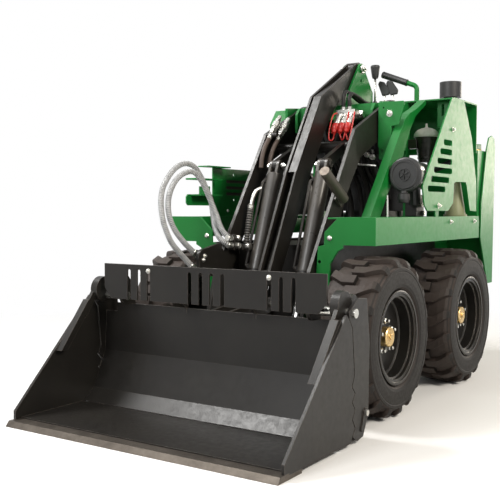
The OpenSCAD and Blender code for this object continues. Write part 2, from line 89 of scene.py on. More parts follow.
# a pattern of a real size in millimetres, as a noise scale on Object coordinates in metres
def noise(tree, place, sizeMm, detail=3.0, rough=0.5):
    return addNode(tree, "ShaderNodeTexNoise", {"Scale": 1000 / sizeMm, "Detail": detail, "Roughness": rough},
                   {"Vector": place}).outputs["Fac"]


def spread(tree, value, low, high, start=0.3, end=0.7):
    return addNode(tree, "ShaderNodeMapRange", {"From Min": start, "From Max": end, "To Min": low, "To Max": high},
                   {"Value": value}).outputs["Result"]


def mixColour(tree, factor, first, second):
    node = addNode(tree, "ShaderNodeMix", {"data_type": "RGBA"}, {"Factor": factor})
    for socket, colour in ((node.inputs[6], first), (node.inputs[7], second)):
        if isinstance(colour, list):
            socket.default_value = colour
        else:
            tree.links.new(colour, socket)
    return node.outputs[2]


# tone that drifts between two colours, in clouds of one size
def clouded(tree, place, colour, second, sizeMm, detail, rough):
    cloud = noise(tree, place, sizeMm, detail, rough)
    return mixColour(tree, spread(tree, cloud, 0, 1), linear(colour), linear(second))


# gives the surface its colour and a fine relief: strength, height in metres, and the grain that noise() makes
def dress(tree, surface, place, colours, relief, normal=None):
    strength, height, *grain = relief
    tree.links.new(colours, surface.inputs["Base Color"])
    links = {"Height": noise(tree, place, *grain)}
    if normal:
        links["Normal"] = normal.outputs[0]
    bump = addNode(tree, "ShaderNodeBump", {"Strength": strength, "Distance": height}, links)
    tree.links.new(bump.outputs[0], surface.inputs["Normal"])


# roughness that wanders round its middle, by less and more, over patches of one size
def unevenGloss(tree, surface, place, sizeMm, less, more):
    middle = surface.inputs["Roughness"].default_value
    gloss = spread(tree, noise(tree, place, sizeMm, 4, 0.6), middle - less, middle + more)
    tree.links.new(gloss, surface.inputs["Roughness"])


# paint on steel: cloudy tone, orange peel, softened edges and, if asked for, lighter edges that are partly rubbed
# paint and partly a painted highlight
def paint(name, colour, dusty, roughness, edgeWearAndGlint=None, edge=0.0015, peelMm=2.5, peel=0.04, specular=0.5):
    material, tree, surface, place = newMaterial(name, Roughness=roughness, **{"Specular IOR Level": specular})
    colours = clouded(tree, place, colour, dusty, 160, 4, 0.6)
    rounded = addNode(tree, "ShaderNodeBevel", {"samples": 4, "Radius": edge})
    if edgeWearAndGlint:
        # edges are lightened where the softened normal leaves the flat one, most where a fine noise lets it:
        # partly rubbed thin paint, partly a painted highlight along the edge
        flat = addNode(tree, "ShaderNodeNewGeometry")
        agree = addNode(tree, "ShaderNodeVectorMath", {"operation": "DOT_PRODUCT"},
                        {0: rounded.outputs[0], 1: flat.outputs["Normal"]})
        onEdge = spread(tree, agree.outputs["Value"], 0.0, 0.8, 0.995, 0.9)
        patchy = spread(tree, noise(tree, place, 9, 3, 0.6), 0.35, 1.0)
        wearAndGlint = addNode(tree, "ShaderNodeMath", {"operation": "MULTIPLY"}, {0: onEdge, 1: patchy})
        colours = mixColour(tree, wearAndGlint.outputs[0], colours, linear(edgeWearAndGlint))
    unevenGloss(tree, surface, place, 22, 0.05, 0.08)
    dress(tree, surface, place, colours, (peel * 4, 0.0004, peelMm, 2, 0.5), rounded)
    return material


# polyester powder coat on blasted steel: satin and lightly clouded, pale green on its edges as rubbed paint and as
# a painted edge highlight
greenPaint = paint("greenPowderCoat", "#0C6A27", "#12702D", 0.38, "#5FB478", specular=0.3)
# the same coat on the exhaust in a dull tan green: a pale olive that is painted sunlight and a painted reflection
# of the green around it
sheenOlivePaint = paint("paintedSheenOlive", "#7E8560", "#8E8F6E", 0.38, peelMm=4)
# black powder coat on the arms and the bucket: brown-black, with light edges that are partly worn and partly a
# painted edge highlight
blackPaint = paint("blackPowderCoat", "#1B1917", "#211F1C", 0.36, "#8C8178", specular=0.28)
# black paint made browner and lighter, partly dulled by hands and dirt and partly painted light where the lock bar
# is lit; its light edges are partly wear and partly a painted edge highlight
handledAndLitPaint = paint("handledAndLitBlackPaint", "#3E3933", "#4C463F", 0.42, "#A0978C", peelMm=2, specular=0.4)
# enamel on honed tube, glossier than the plates, for long soft streaks of light; its base is lighter than the
# other black paint as a painted highlight on the barrels, and its light edges are partly wear and partly a painted
# edge highlight
litBarrelPaint = paint("barrelBlackPaintLit", "#34312D", "#45413B", 0.3, "#8C8178", specular=0.6)
# wheel enamel: smoother than powder coat, with bright edges that are partly chips and partly painted glints on the
# rim's lips
rimPaint = paint("blackRimPaint", "#171614", "#1E1C1A", 0.33, "#A79E92", peelMm=3, specular=0.3)
# oil-blackened steel and iron castings: nearly black, with a fine rough grain
darkSteel = paint("blackOxideSteel", "#141312", "#1E1C1A", 0.45, peelMm=1.5, peel=0.1)


# bare steel: rolled grain, faint rust stain and worn streaks
def steel(name, colour, dark, roughness, grainMm=1.2, bump=0.05):
    material, tree, surface, place = newMaterial(name, Metallic=1.0, Roughness=roughness)
    colours = clouded(tree, place, colour, dark, 40, 5, 0.65)
    rounded = addNode(tree, "ShaderNodeBevel", {"samples": 4, "Radius": 0.001})
    unevenGloss(tree, surface, place, 6, 0.07, 0.1)
    dress(tree, surface, place, colours, (bump * 4, 0.0003, grainMm, 3, 0.6), rounded)
    return material


# wear plate scoured by soil: brownish grey and half dull
wornSteel = steel("groundEdgeSteel", "#6E675F", "#544E48", 0.46, 2.0, 0.12)
# bright zinc plate on pins, nuts and fittings: pale silver with a soft gloss
zincSteel = steel("zincPlate", "#D9D8D2", "#BDBBB4", 0.28, 1.0, 0.03)
# ground and polished hard chrome: a sharp mirror
chromeRod = steel("hardChrome", "#E6E6E6", "#D5D5D5", 0.1, 0.8, 0.01)
# zinc with a yellow passivate: warm gold
hubGold = steel("yellowZincHub", "#E3C893", "#C7A468", 0.3, 1.5, 0.04)


# rubber: matt and faintly brown; with a sidewall colour, the faces that point along the axle take it, so a tyre's
# sidewalls are darker than its tread
def rubber(name, colour, dusty, roughness, grainMm=1.6, sidewall=None):
    material, tree, surface, place = newMaterial(name, Roughness=roughness, **{"Specular IOR Level": 0.25})
    colours = clouded(tree, place, colour, dusty, 60, 5, 0.65)
    if sidewall:
        geometry = addNode(tree, "ShaderNodeNewGeometry")
        normal = addNode(tree, "ShaderNodeSeparateXYZ", links={0: geometry.outputs["Normal"]})
        sideways = addNode(tree, "ShaderNodeMath", {"operation": "ABSOLUTE"}, {0: normal.outputs["X"]})
        onWall = spread(tree, sideways.outputs[0], 0.0, 1.0, 0.45, 0.85)
        colours = mixColour(tree, onWall, colours, linear(sidewall))
    unevenGloss(tree, surface, place, 9, 0.06, 0.1)
    dress(tree, surface, place, colours, (0.25, 0.0005, grainMm, 3, 0.6))
    return material


# carbon-black tread rubber: matt, brown with dust between the lugs, blacker on the sidewalls
tyreRubber = rubber("tyreRubber", "#332C28", "#3D3531", 0.6, sidewall="#171411")
# smooth hydraulic hose cover: black, a little shinier than a tyre
hoseRubber = rubber("hoseRubber", "#191817", "#22201E", 0.5, 1.0)
# faded hose cover with a braid's weave: brown-grey
dustyHose = rubber("dustyHoseCover", "#4A403B", "#574C46", 0.45, 1.2)


# moulded plastic: even in colour, with the fine spark-eroded grain of its mould
def plastic(name, colour, shade, roughness):
    material, tree, surface, place = newMaterial(name, Roughness=roughness)
    dress(tree, surface, place, clouded(tree, place, colour, shade, 18, 3, 0.5), (0.12, 0.0002, 0.8, 2, 0.5))
    return material


# glass-filled nylon housings: satin black
blackPlastic = plastic("mouldedBlackPlastic", "#1A1A1A", "#222222", 0.45)
# natural nylon caps: warm white, waxy
whitePlastic = plastic("whiteNylon", "#E9E7E1", "#D9D6CD", 0.4)
# polyethylene spiral guard, greyed by weather
greySpiral = plastic("greySpiralGuard", "#B9BABA", "#9A9B9C", 0.42)
# the same guard in black, painted mid grey as a painted highlight where its ribs catch the light
litBlackSpiral = plastic("blackSpiralGuardLit", "#77746F", "#5C5955", 0.45)
# dip-moulded vinyl dust caps: bright red, soft gloss
redCap = plastic("redCapPlastic", "#C22A22", "#A81E1A", 0.35)
# smoked nylon filter bowl, dark with fuel inside: glossy
smokedBowl = plastic("smokedNylonBowl", "#3A3631", "#2A2724", 0.22)
# bar end left as sawn: dull brown-grey metal with a coarse grain
sawnSteel = steel("sawnBareSteel", "#8A8178", "#6F675F", 0.62, 1.0, 0.15)
# sand-cast aluminium fins: dark dull grey
castAlloy = steel("dullCastAluminium", "#6E6C69", "#4C4A48", 0.5, 1.5, 0.12)
print("materials made")

# each CAD node's finish
finishes = {
    greenPaint: ["side_beams", "pillar", "tower", "console", "side_plates", "rear_plates", "fuel_tank",
                 "hand_rail"],
    blackPaint: ["frame_tub", "lift_arms", "tilt_link", "back_blade", "spill_guard", "jaw", "clam_barrel_left",
                 "clam_barrel_right"],
    handledAndLitPaint: ["lock_bar"],
    litBarrelPaint: ["lift_barrel_left", "lift_barrel_right"],
    darkSteel: ["wheel_motors", "engine_block"],
    blackPlastic: ["air_cleaner", "pre_cleaner", "control_levers", "filter_canister"],
    zincSteel: ["coupler_block", "frame_pins", "bucket_pins", "link_bar"],
    hoseRubber: ["arm_hoses"],
    chromeRod: ["tilt_rod", "lift_rod_left", "lift_rod_right", "clam_rod_left", "clam_rod_right"],
    wornSteel: ["cutting_edge"],
    sheenOlivePaint: ["muffler"],
    rimPaint: ["rim_fl", "rim_fr", "rim_rl", "rim_rr"],
    tyreRubber: ["tyre_fl", "tyre_fr", "tyre_rl", "tyre_rr"],
}
for material, names in finishes.items():
    for name in names:
        nodes[name].data.materials.clear()
        nodes[name].data.materials.append(material)


# visual piece from one mesh or several, on a body, in place of the named CAD nodes if any are given
def addPiece(name, mesh, body, material=None, smooth=True, replaces=()):
    mesh = joined(mesh) if isinstance(mesh, list) else mesh
    piece = bpy.data.objects.new(name, mesh)
    bpy.context.collection.objects.link(piece)
    if material:
        mesh.materials.clear()
        mesh.materials.append(material)
    mesh.shade_smooth() if smooth else mesh.shade_flat()
    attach(piece, body)
    if replaces:
        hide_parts(*replaces)


# the evaluated object as a plain mesh, with the helper object gone
def settle(obj):
    depsgraph = bpy.context.evaluated_depsgraph_get()
    mesh = bpy.data.meshes.new_from_object(obj.evaluated_get(depsgraph))
    bpy.data.objects.remove(obj)
    # empty slots go, so that every face has a finish
    kept = [m for m in mesh.materials if m]
    if kept and len(kept) < len(mesh.materials):
        slots = [kept.index(m) if m else 0 for m in mesh.materials]
        faces = [slots[face.material_index] for face in mesh.polygons]
        mesh.materials.clear()
        for m in kept:
            mesh.materials.append(m)
        mesh.polygons.foreach_set("material_index", faces)
    return mesh


def temporary(mesh):
    obj = bpy.data.objects.new("draft", mesh)
    bpy.context.collection.objects.link(obj)
    return obj


# Geometry Nodes tree with its inputs and its one output, and how a modifier names the inputs
def newTree(name, kinds, output):
    tree = bpy.data.node_groups.new(name, "GeometryNodeTree")
    sockets = {label: tree.interface.new_socket(label, in_out="INPUT", socket_type="NodeSocket" + kind).identifier
               for label, kind in kinds.items()}
    tree.interface.new_socket(output, in_out="OUTPUT", socket_type="NodeSocketGeometry")
    return tree, sockets, addNode(tree, "NodeGroupInput").outputs


# ring of the same part round the X axis
def ringTree():
    kinds = {"Part": "Geometry", "Count": "Int", "Finish": "Material"}
    tree, sockets, inputs = newTree("aroundAxle", kinds, "Part")
    points = addNode(tree, "GeometryNodePoints", links={"Count": inputs["Count"]})
    step = addNode(tree, "ShaderNodeMath", {"operation": "DIVIDE", 0: math.tau}, {1: inputs["Count"]})
    index = addNode(tree, "GeometryNodeInputIndex")
    angle = addNode(tree, "ShaderNodeMath", {"operation": "MULTIPLY"}, {0: index.outputs[0], 1: step.outputs[0]})
    turn = addNode(tree, "ShaderNodeCombineXYZ", links={"X": angle.outputs[0]})
    placed = addNode(tree, "GeometryNodeInstanceOnPoints",
                     links={"Points": points.outputs[0], "Instance": inputs["Part"], "Rotation": turn.outputs[0]})
    real = addNode(tree, "GeometryNodeRealizeInstances", links={"Geometry": placed.outputs[0]})
    finish = addNode(tree, "GeometryNodeSetMaterial",
                     links={"Geometry": real.outputs[0], "Material": inputs["Finish"]})
    addNode(tree, "NodeGroupOutput", links={"Part": finish.outputs[0]})
    return tree, sockets


aroundAxle, aroundSockets = ringTree()


def ringOf(mesh, count, material):
    obj = temporary(mesh)
    modifier = obj.modifiers.new("around", "NODES")
    modifier.node_group = aroundAxle
    modifier[aroundSockets["Count"]] = count
    modifier[aroundSockets["Finish"]] = material
    return settle(obj)


# points given in millimetres, as metres
def millimetres(points):
    return [tuple(0.001 * v for v in p) for p in points]


# surface turned round the X axis from (x, radius) points; the profile closes on itself
def lathe(profile, segments=96, closed=True):
    bm = bmesh.new()
    rings = [[bm.verts.new((x, r * math.cos(a), r * math.sin(a)))
              for a in (math.tau * i / segments for i in range(segments))] for x, r in profile]
    count = len(rings) if closed else len(rings) - 1
    for k in range(count):
        low, high = rings[k], rings[(k + 1) % len(rings)]
        for i in range(segments):
            j = (i + 1) % segments
            bm.faces.new((low[i], low[j], high[j], high[i]))
    if not closed:
        bm.faces.new(rings[0])
        bm.faces.new(rings[-1])
    bmesh.ops.remove_doubles(bm, verts=bm.verts, dist=1e-6)
    bmesh.ops.recalc_face_normals(bm, faces=bm.faces)
    mesh = bpy.data.meshes.new("turned")
    bm.to_mesh(mesh)
    return mesh


# turned shape on a point, its axis along a direction; the profile is (distance, radius) in millimetres
def turned(profile, start, direction, segments=32):
    mesh = lathe(millimetres(profile), segments, closed=False)
    turn = Vector((1, 0, 0)).rotation_difference(Vector(direction).normalized()).to_matrix().to_4x4()
    mesh.transform(Matrix.Translation(start) @ turn)
    return mesh


# short round or six-sided stub in millimetres: a straight length, then its narrower nose
def stub(start, way, radius, length, nose, noseRadius, sides=6):
    return turned([(0, 0), (0, radius), (length, radius), (nose, noseRadius), (nose, 0)], start, way, sides)


# one mesh from several, with each one's finishes
def joined(meshes):
    bm = bmesh.new()
    whole = bpy.data.meshes.new("whole")
    for mesh in meshes:
        first = len(bm.faces)
        bm.from_mesh(mesh)
        bm.faces.ensure_lookup_table()
        slots = list(mesh.materials)
        for m in slots:
            if m not in list(whole.materials):
                whole.materials.append(m)
        for face in bm.faces[first:]:
            face.material_index = list(whole.materials).index(slots[face.material_index]) if slots else 0
    bm.to_mesh(whole)
    return whole


def placedMesh(mesh, matrix):
    copy = mesh.copy()
    copy.transform(matrix)
    if matrix.determinant() < 0:
        copy.flip_normals()
    return copy


def bevelled(mesh, width, segments=2, angle=30):
    obj = temporary(mesh)
    modifier = obj.modifiers.new("edge", "BEVEL")
    modifier.width = width
    modifier.segments = segments
    modifier.limit_method = "ANGLE"
    modifier.angle_limit = math.radians(angle)
    return settle(obj)


# tyres: a carcass with a wide rim guard, and lugs that bend from the middle to the shoulder
tyre = {"middle": 0.423, "radius": 0.287, "count": 18, "lugHalf": 0.0185, "across": 0.014, "straight": 0.034,
        "bend": 0.03, "edge": 0.0016, "segments": 144}

carcass = [(0.08, 0.15), (0.084, 0.166), (0.091, 0.174), (0.0985, 0.18), (0.1015, 0.19), (0.1025, 0.212),
           (0.102, 0.232), (0.1015, 0.236), (0.103, 0.239), (0.1028, 0.247), (0.0995, 0.2505), (0.0935, 0.253),
           (0.0895, 0.258), (0.08, 0.264), (0.05, 0.2685), (0.0, 0.27)]


def lugMesh(side, turn):
    t = tyre
    # stations across the tyre: shift round the tyre, top point and root point as (x, radius)
    stations = [(0.0, (-t["across"], 0.2865), (-t["across"], 0.262)),
                (0.0, (t["straight"], 0.287), (t["straight"], 0.262)),
                (0.5, (0.06, 0.286), (0.058, 0.258)), (1.0, (0.083, 0.2825), (0.076, 0.252)),
                (1.12, (0.0935, 0.274), (0.08, 0.248)), (1.16, (0.0985, 0.262), (0.084, 0.246)),
                (1.18, (0.1005, 0.2515), (0.088, 0.244))]
    bm = bmesh.new()
    rings = []
    for k, (shift, top, root) in enumerate(stations):
        half = t["lugHalf"] if k < 4 else t["lugHalf"] - 0.0015 * (k - 3)
        ring = []
        for (x, r), w in ((root, -half - 0.004), (top, -half), (top, half), (root, half + 0.004)):
            a = turn - (shift * t["bend"] + w) / t["radius"]
            ring.append(bm.verts.new((side * x, r * math.cos(a), r * math.sin(a))))
        rings.append(ring)
    for low, high in zip(rings, rings[1:]):
        for i in range(4):
            j = (i + 1) % 4
            bm.faces.new((low[i], low[j], high[j], high[i]))
    bm.faces.new(rings[0])
    bm.faces.new(rings[-1])
    bmesh.ops.recalc_face_normals(bm, faces=bm.faces)
    mesh = bpy.data.meshes.new("lug")
    bm.to_mesh(mesh)
    return mesh


def tyreMesh():
    pitch = math.tau / tyre["count"]
    lugs = bevelled(joined([lugMesh(1, 0), lugMesh(-1, pitch / 2)]), tyre["edge"])
    tread = ringOf(lugs, tyre["count"], tyreRubber)
    body = lathe(carcass + [(-x, r) for x, r in reversed(carcass[:-1])], tyre["segments"])
    return joined([body, tread])


# wheel nuts, studs and the hub cap, at the middle of the rim
wheel = {"axle": 0.372, "height": 0.287, "studs": 5, "circle": 0.057, "studLength": 0.026, "studTurn": 2,
         "face": 0.455, "cap": 0.485, "rivets": 3, "rivetCircle": 0.021}


def studMesh():
    reach = wheel["studLength"]
    profiles = [([(0, 0.014), (0.003, 0.014), (0.003, 0.0)], 24),
                ([(0.003, 0.011), (0.014, 0.011), (0.016, 0.009), (0.016, 0.0)], 6),
                ([(0.014, 0.0062), (reach, 0.0062), (reach + 0.001, 0.005)], 16)]
    stud = joined([lathe(profile, segments, closed=False) for profile, segments in profiles])
    stud.transform(Matrix.Translation((0, 0, wheel["circle"])))
    return stud


def capMesh():
    # a turned cap with a stepped face and a castle nut in its middle
    face = 1000 * (wheel["cap"] - wheel["face"])
    steps = [(0.5, 0), (0.5, 36.8), (face - 2, 36.8), (face + 1, 34), (face + 1, 27), (face + 0.2, 26),
             (face + 0.2, 16), (face + 2, 15), (face + 2, 0)]
    rivet = [(face - 1, 3.5), (face + 1.2, 3.5), (face + 1.2, 0)]
    nut = [(face, 11), (face + 6, 11), (face + 7, 8), (face + 7, 0)]
    rivets = []
    for k in range(wheel["rivets"]):
        a = math.tau * k / wheel["rivets"]
        centre = (0, wheel["rivetCircle"] * math.cos(a), wheel["rivetCircle"] * math.sin(a))
        rivets.append(turned(rivet, centre, (1, 0, 0), 12))
    return joined([lathe(millimetres(steps), 64, False), lathe(millimetres(nut), 6, False)] + rivets)


tyreShape, studs, cap = tyreMesh(), ringOf(studMesh(), wheel["studs"], zincSteel), capMesh()
studs.transform(Matrix.Rotation(math.radians(wheel["studTurn"]), 4, "X"))
for body, side, end in (("wheel_fl", 1, -1), ("wheel_fr", -1, -1), ("wheel_rl", 1, 1), ("wheel_rr", -1, 1)):
    corner = body[-2:]
    axle = Matrix.Translation((0, end * wheel["axle"], wheel["height"])) @ Matrix.Diagonal((side, 1, 1, 1))
    tread = placedMesh(tyreShape, axle @ Matrix.Translation((tyre["middle"], 0, 0)))
    face = axle @ Matrix.Translation((wheel["face"], 0, 0))
    addPiece("tread_" + corner, tread, body, tyreRubber, False, ("tyre_" + corner,))
    addPiece("wheel_nuts_" + corner, placedMesh(studs, face), body, zincSteel, False)
    addPiece("hub_cap_" + corner, placedMesh(cap, face), body, hubGold, False)
print("wheels done")


# small parts that stand on a surface: every point carries the way it faces and its size
def scatterTree():
    kinds = {"Points": "Geometry", "Part": "Object", "Finish": "Material"}
    tree, sockets, inputs = newTree("standOnPoints", kinds, "Parts")
    part = addNode(tree, "GeometryNodeObjectInfo", links={"Object": inputs["Part"]})
    facing, size = [addNode(tree, "GeometryNodeInputNamedAttribute", {"data_type": kind, "Name": name})
                    for kind, name in (("FLOAT_VECTOR", "facing"), ("FLOAT", "size"))]
    turn = addNode(tree, "FunctionNodeAlignRotationToVector", {"axis": "X"},
                   {"Vector": facing.outputs["Attribute"]})
    placed = addNode(tree, "GeometryNodeInstanceOnPoints", links={
        "Points": inputs["Points"], "Instance": part.outputs["Geometry"], "Rotation": turn.outputs["Rotation"],
        "Scale": size.outputs["Attribute"]})
    real = addNode(tree, "GeometryNodeRealizeInstances", links={"Geometry": placed.outputs[0]})
    finish = addNode(tree, "GeometryNodeSetMaterial",
                     links={"Geometry": real.outputs[0], "Material": inputs["Finish"]})
    addNode(tree, "NodeGroupOutput", links={"Parts": finish.outputs[0]})
    return tree, sockets


standOnPoints, standSockets = scatterTree()


# places: (point, facing) or (point, facing, size)
def scattered(partMesh, places, material):
    mesh = bpy.data.meshes.new("places")
    mesh.from_pydata([p[0] for p in places], [], [])
    # both exist before either is written, as a new one moves the others
    mesh.attributes.new("facing", "FLOAT_VECTOR", "POINT")
    mesh.attributes.new("size", "FLOAT", "POINT")
    for i, place in enumerate(places):
        mesh.attributes["facing"].data[i].vector = place[1]
        mesh.attributes["size"].data[i].value = place[2] if len(place) > 2 else 1.0
    part, obj = temporary(partMesh), temporary(mesh)
    modifier = obj.modifiers.new("stand", "NODES")
    modifier.node_group = standOnPoints
    modifier[standSockets["Part"]] = part
    modifier[standSockets["Finish"]] = material
    result = settle(obj)
    bpy.data.objects.remove(part)
    return result


# hose or pipe along a path, with rings of a guard threaded on it
def hoseTree():
    kinds = {"Path": "Geometry", "Radius": "Float", "Pitch": "Float", "Ring": "Object", "Hose Finish": "Material",
             "Ring Finish": "Material"}
    tree, sockets, inputs = newTree("hoseAlongPath", kinds, "Hose")
    path = addNode(tree, "GeometryNodeMeshToCurve", links={"Mesh": inputs["Path"]}).outputs[0]
    circle = addNode(tree, "GeometryNodeCurvePrimitiveCircle", {"Resolution": 14}, {"Radius": inputs["Radius"]})
    wall = addNode(tree, "GeometryNodeCurveToMesh", {"Fill Caps": True},
                   {"Curve": path, "Profile Curve": circle.outputs[0]})
    hose = addNode(tree, "GeometryNodeSetMaterial",
                   links={"Geometry": wall.outputs[0], "Material": inputs["Hose Finish"]})
    points = addNode(tree, "GeometryNodeCurveToPoints", {"mode": "LENGTH"},
                     {"Curve": path, "Length": inputs["Pitch"]})
    ring = addNode(tree, "GeometryNodeObjectInfo", links={"Object": inputs["Ring"]})
    turn = addNode(tree, "FunctionNodeAlignRotationToVector", {"axis": "X"}, {"Vector": points.outputs["Tangent"]})
    placed = addNode(tree, "GeometryNodeInstanceOnPoints", links={
        "Points": points.outputs["Points"], "Instance": ring.outputs["Geometry"],
        "Rotation": turn.outputs["Rotation"]})
    real = addNode(tree, "GeometryNodeRealizeInstances", links={"Geometry": placed.outputs[0]})
    rings = addNode(tree, "GeometryNodeSetMaterial",
                    links={"Geometry": real.outputs[0], "Material": inputs["Ring Finish"]})
    both = addNode(tree, "GeometryNodeJoinGeometry")
    for part in (hose, rings):
        tree.links.new(part.outputs[0], both.inputs[0])
    addNode(tree, "NodeGroupOutput", links={"Hose": both.outputs[0]})
    return tree, sockets


hoseAlongPath, hoseSockets = hoseTree()


# smooth line through the points, as many short steps between each two
def smoothPath(points, steps=6):
    p = [Vector(v) for v in points]
    p = [2 * p[0] - p[1]] + p + [2 * p[-1] - p[-2]]
    line = []
    for a, b, c, d in zip(p, p[1:], p[2:], p[3:]):
        for k in range(steps):
            t = k / steps
            bend, twist = 2 * a - 5 * b + 4 * c - d, 3 * b - a - 3 * c + d
            line.append(0.5 * (2 * b + (c - a) * t + bend * t * t + twist * t ** 3))
    return line + [p[-2]]


def hoseMesh(points, radius, finish, ring=None, pitch=1.0, ringFinish=None):
    line = smoothPath(points)
    mesh = bpy.data.meshes.new("path")
    mesh.from_pydata(line, [(i, i + 1) for i in range(len(line) - 1)], [])
    obj = temporary(mesh)
    ringObject = temporary(ring) if ring else None
    modifier = obj.modifiers.new("hose", "NODES")
    modifier.node_group = hoseAlongPath
    for name, value in (("Radius", radius), ("Pitch", pitch), ("Ring", ringObject), ("Hose Finish", finish),
                        ("Ring Finish", ringFinish or finish)):
        modifier[hoseSockets[name]] = value
    result = settle(obj)
    if ringObject:
        bpy.data.objects.remove(ringObject)
    return result


# the hoses on the right arm, along the routes of the CAD model, in millimetres
longRoute = millimetres([
    (-229, -582, 510), (-236, -604, 532), (-252, -650, 580), (-268, -680, 622), (-290, -694, 690),
    (-308, -686, 746), (-322, -668, 796), (-332, -636, 840), (-341, -572, 894), (-345, -500, 922),
    (-341, -440, 912), (-333, -400, 866), (-324, -382, 826), (-312, -368, 780), (-296, -376, 728),
    (-280, -390, 692), (-256, -412, 660), (-232, -426, 636), (-212, -430, 618), (-192, -424, 606),
    (-186, -412, 600), (-186, -400.4, 600)])
shortRoute = millimetres([
    (-229, -568, 564), (-234, -600, 588), (-246, -630, 618), (-266, -662, 668), (-285, -670, 726),
    (-300, -650, 790), (-311, -600, 848), (-313, -540, 882), (-309, -484, 888), (-297, -450, 854),
    (-285, -428, 808), (-270, -412, 756), (-250, -410, 712), (-232, -416, 678), (-212, -420, 652),
    (-194, -418, 636), (-186, -411, 628), (-186, -400.4, 628)])
ribbedRoute = millimetres([(-170, -284, 758), (-170, -296, 706), (-170, -308, 654), (-170, -320, 606)])
dropRoutes = [millimetres([(-182, -124, 1046), (-182, -166, 998), (-182, -186, 950), (-182, -192, 914)]),
              millimetres([(-160, -92, 1040), (-160, -134, 994), (-160, -156, 950), (-160, -166, 914)])]
guard = {"core": 0.0088, "outside": 0.011, "pitch": 0.0066, "width": 0.005}
ribs = {"core": 0.0098, "outside": 0.013, "pitch": 0.0098, "width": 0.005}
dropRadius = 0.0095


def guardRing(g, edge=0.0006):
    half = g["width"] / 2
    return lathe([(-half, g["core"] - 0.0005), (-half, g["outside"] - edge), (-half + edge, g["outside"]),
                  (half - edge, g["outside"]), (half, g["outside"] - edge), (half, g["core"] - 0.0005)], 16)


# crimped collar and hexagon of a hose end, from the hose outwards along the axis, its size in millimetres
def hoseEnd(start, direction, radius, length=34):
    neck, groove, wide, edge = radius * 0.7, radius * 0.93, radius * 1.15, radius * 1.08
    crimped = [(0, neck), (0, radius), (7, radius), (8, groove), (10, groove), (11, radius), (17, radius),
               (18, groove), (20, groove), (21, radius), (length - 6, radius), (length - 4, neck), (length, neck)]
    nut = [(0, radius * 0.5), (0, edge), (1, wide), (12, wide), (13, edge), (13, radius * 0.5)]
    tip = Vector(start) + Vector(direction).normalized() * 0.001 * (length - 1)
    return [turned(crimped, start, direction, 24), turned(nut, tip, direction, 6)]


spiral = [hoseMesh(route, guard["core"], hoseRubber, guardRing(guard), guard["pitch"], greySpiral)
          for route in (longRoute, shortRoute)]
addPiece("guarded_hoses", spiral, "arms", None, False, ("arm_hoses",))
sleeve = hoseMesh(ribbedRoute, ribs["core"], hoseRubber, guardRing(ribs), ribs["pitch"], litBlackSpiral)
addPiece("ribbed_sleeve", sleeve, "arms", None, False)
addPiece("drop_hoses", [hoseMesh(route, dropRadius, dustyHose) for route in dropRoutes], "arms")
print("hoses done")


# fasteners, drawn with a radius of 10 mm and scaled on their places
domeProfile = [(-0.001, 0), (-0.001, 0.01), (0.0015, 0.01), (0.004, 0.0085), (0.0058, 0.005), (0.0064, 0)]
washerProfile = [(-0.001, 0), (-0.001, 0.0125), (0.0015, 0.0125), (0.0018, 0.012), (0.0018, 0)]
hexProfile = [(0.0017, 0), (0.0017, 0.0095), (0.0075, 0.0095), (0.0085, 0.0082), (0.0085, 0)]
endProfile = [(0.008, 0), (0.008, 0.0055), (0.0125, 0.0055), (0.0135, 0.0045), (0.0135, 0)]


def domeHead():
    return lathe(domeProfile, 28, False)


def hexHead():
    return joined([lathe(washerProfile, 28, False), lathe(hexProfile, 6, False), lathe(endProfile, 16, False)])


front, back, left, right, up = (0, -1, 0), (0, 1, 0), (1, 0, 0), (-1, 0, 0), (0, 0, 1)
domes = {
    "chassis": [((s * 0.276, -0.442, 0.637), front) for s in (1, -1)] + [((-0.45, -0.052, 0.734), left, 0.8)],
}
hexes = {
    "chassis": [((0.456, 0.314, 1.079), left, 0.8), ((0.456, 0.157, 0.757), left, 0.9),
                ((0.272, 0.078, 1.136), front, 1.1), ((-0.45, 0.141, 0.886), left, 0.7),
                ((-0.456, 0.141, 0.886), right, 0.7), ((-0.456, -0.052, 0.734), right, 0.8),
                ((-0.272, 0.086, 1.136), front, 1.0)]
               + [((s * 0.456, y, 0.69), (s, 0, 0), 0.8) for s in (1, -1) for y in (0.3, 0.6)],
    "bucket": [((x, -0.821, z), front, 0.75) for x, z in ((0.257, 0.519), (-0.257, 0.519))],
    "arms": [((-0.201, -0.558, 0.5635), left, 0.75), ((-0.201, -0.566, 0.548), left, 0.75)],
    "link_pin": [((0.046, 0.29, 1.368), left, 1.5), ((-0.046, 0.29, 1.368), right, 1.5)],
}
for kind, shape, table in (("dome", domeHead(), domes), ("hexagon", hexHead(), hexes)):
    for body, places in table.items():
        addPiece(kind + "_bolts_" + body, scattered(shape, places, zincSteel), body, None, False)
print("bolts done")


# hose ends and couplings on the arms
collar = [(0, 11.2), (2, 12.2), (26, 12.2), (28, 10.5), (30, 10.5), (30, 0), (0, 0)]
ends = []
for point, way in ((longRoute[0], (7, 22, -22)), (shortRoute[0], (5, 32, -24)), (longRoute[-1], back),
                   (shortRoute[-1], back)):
    start = Vector(point) - Vector(way).normalized() * 0.001 * collar[-2][0]
    ends.append(turned(collar, start, way, 24))
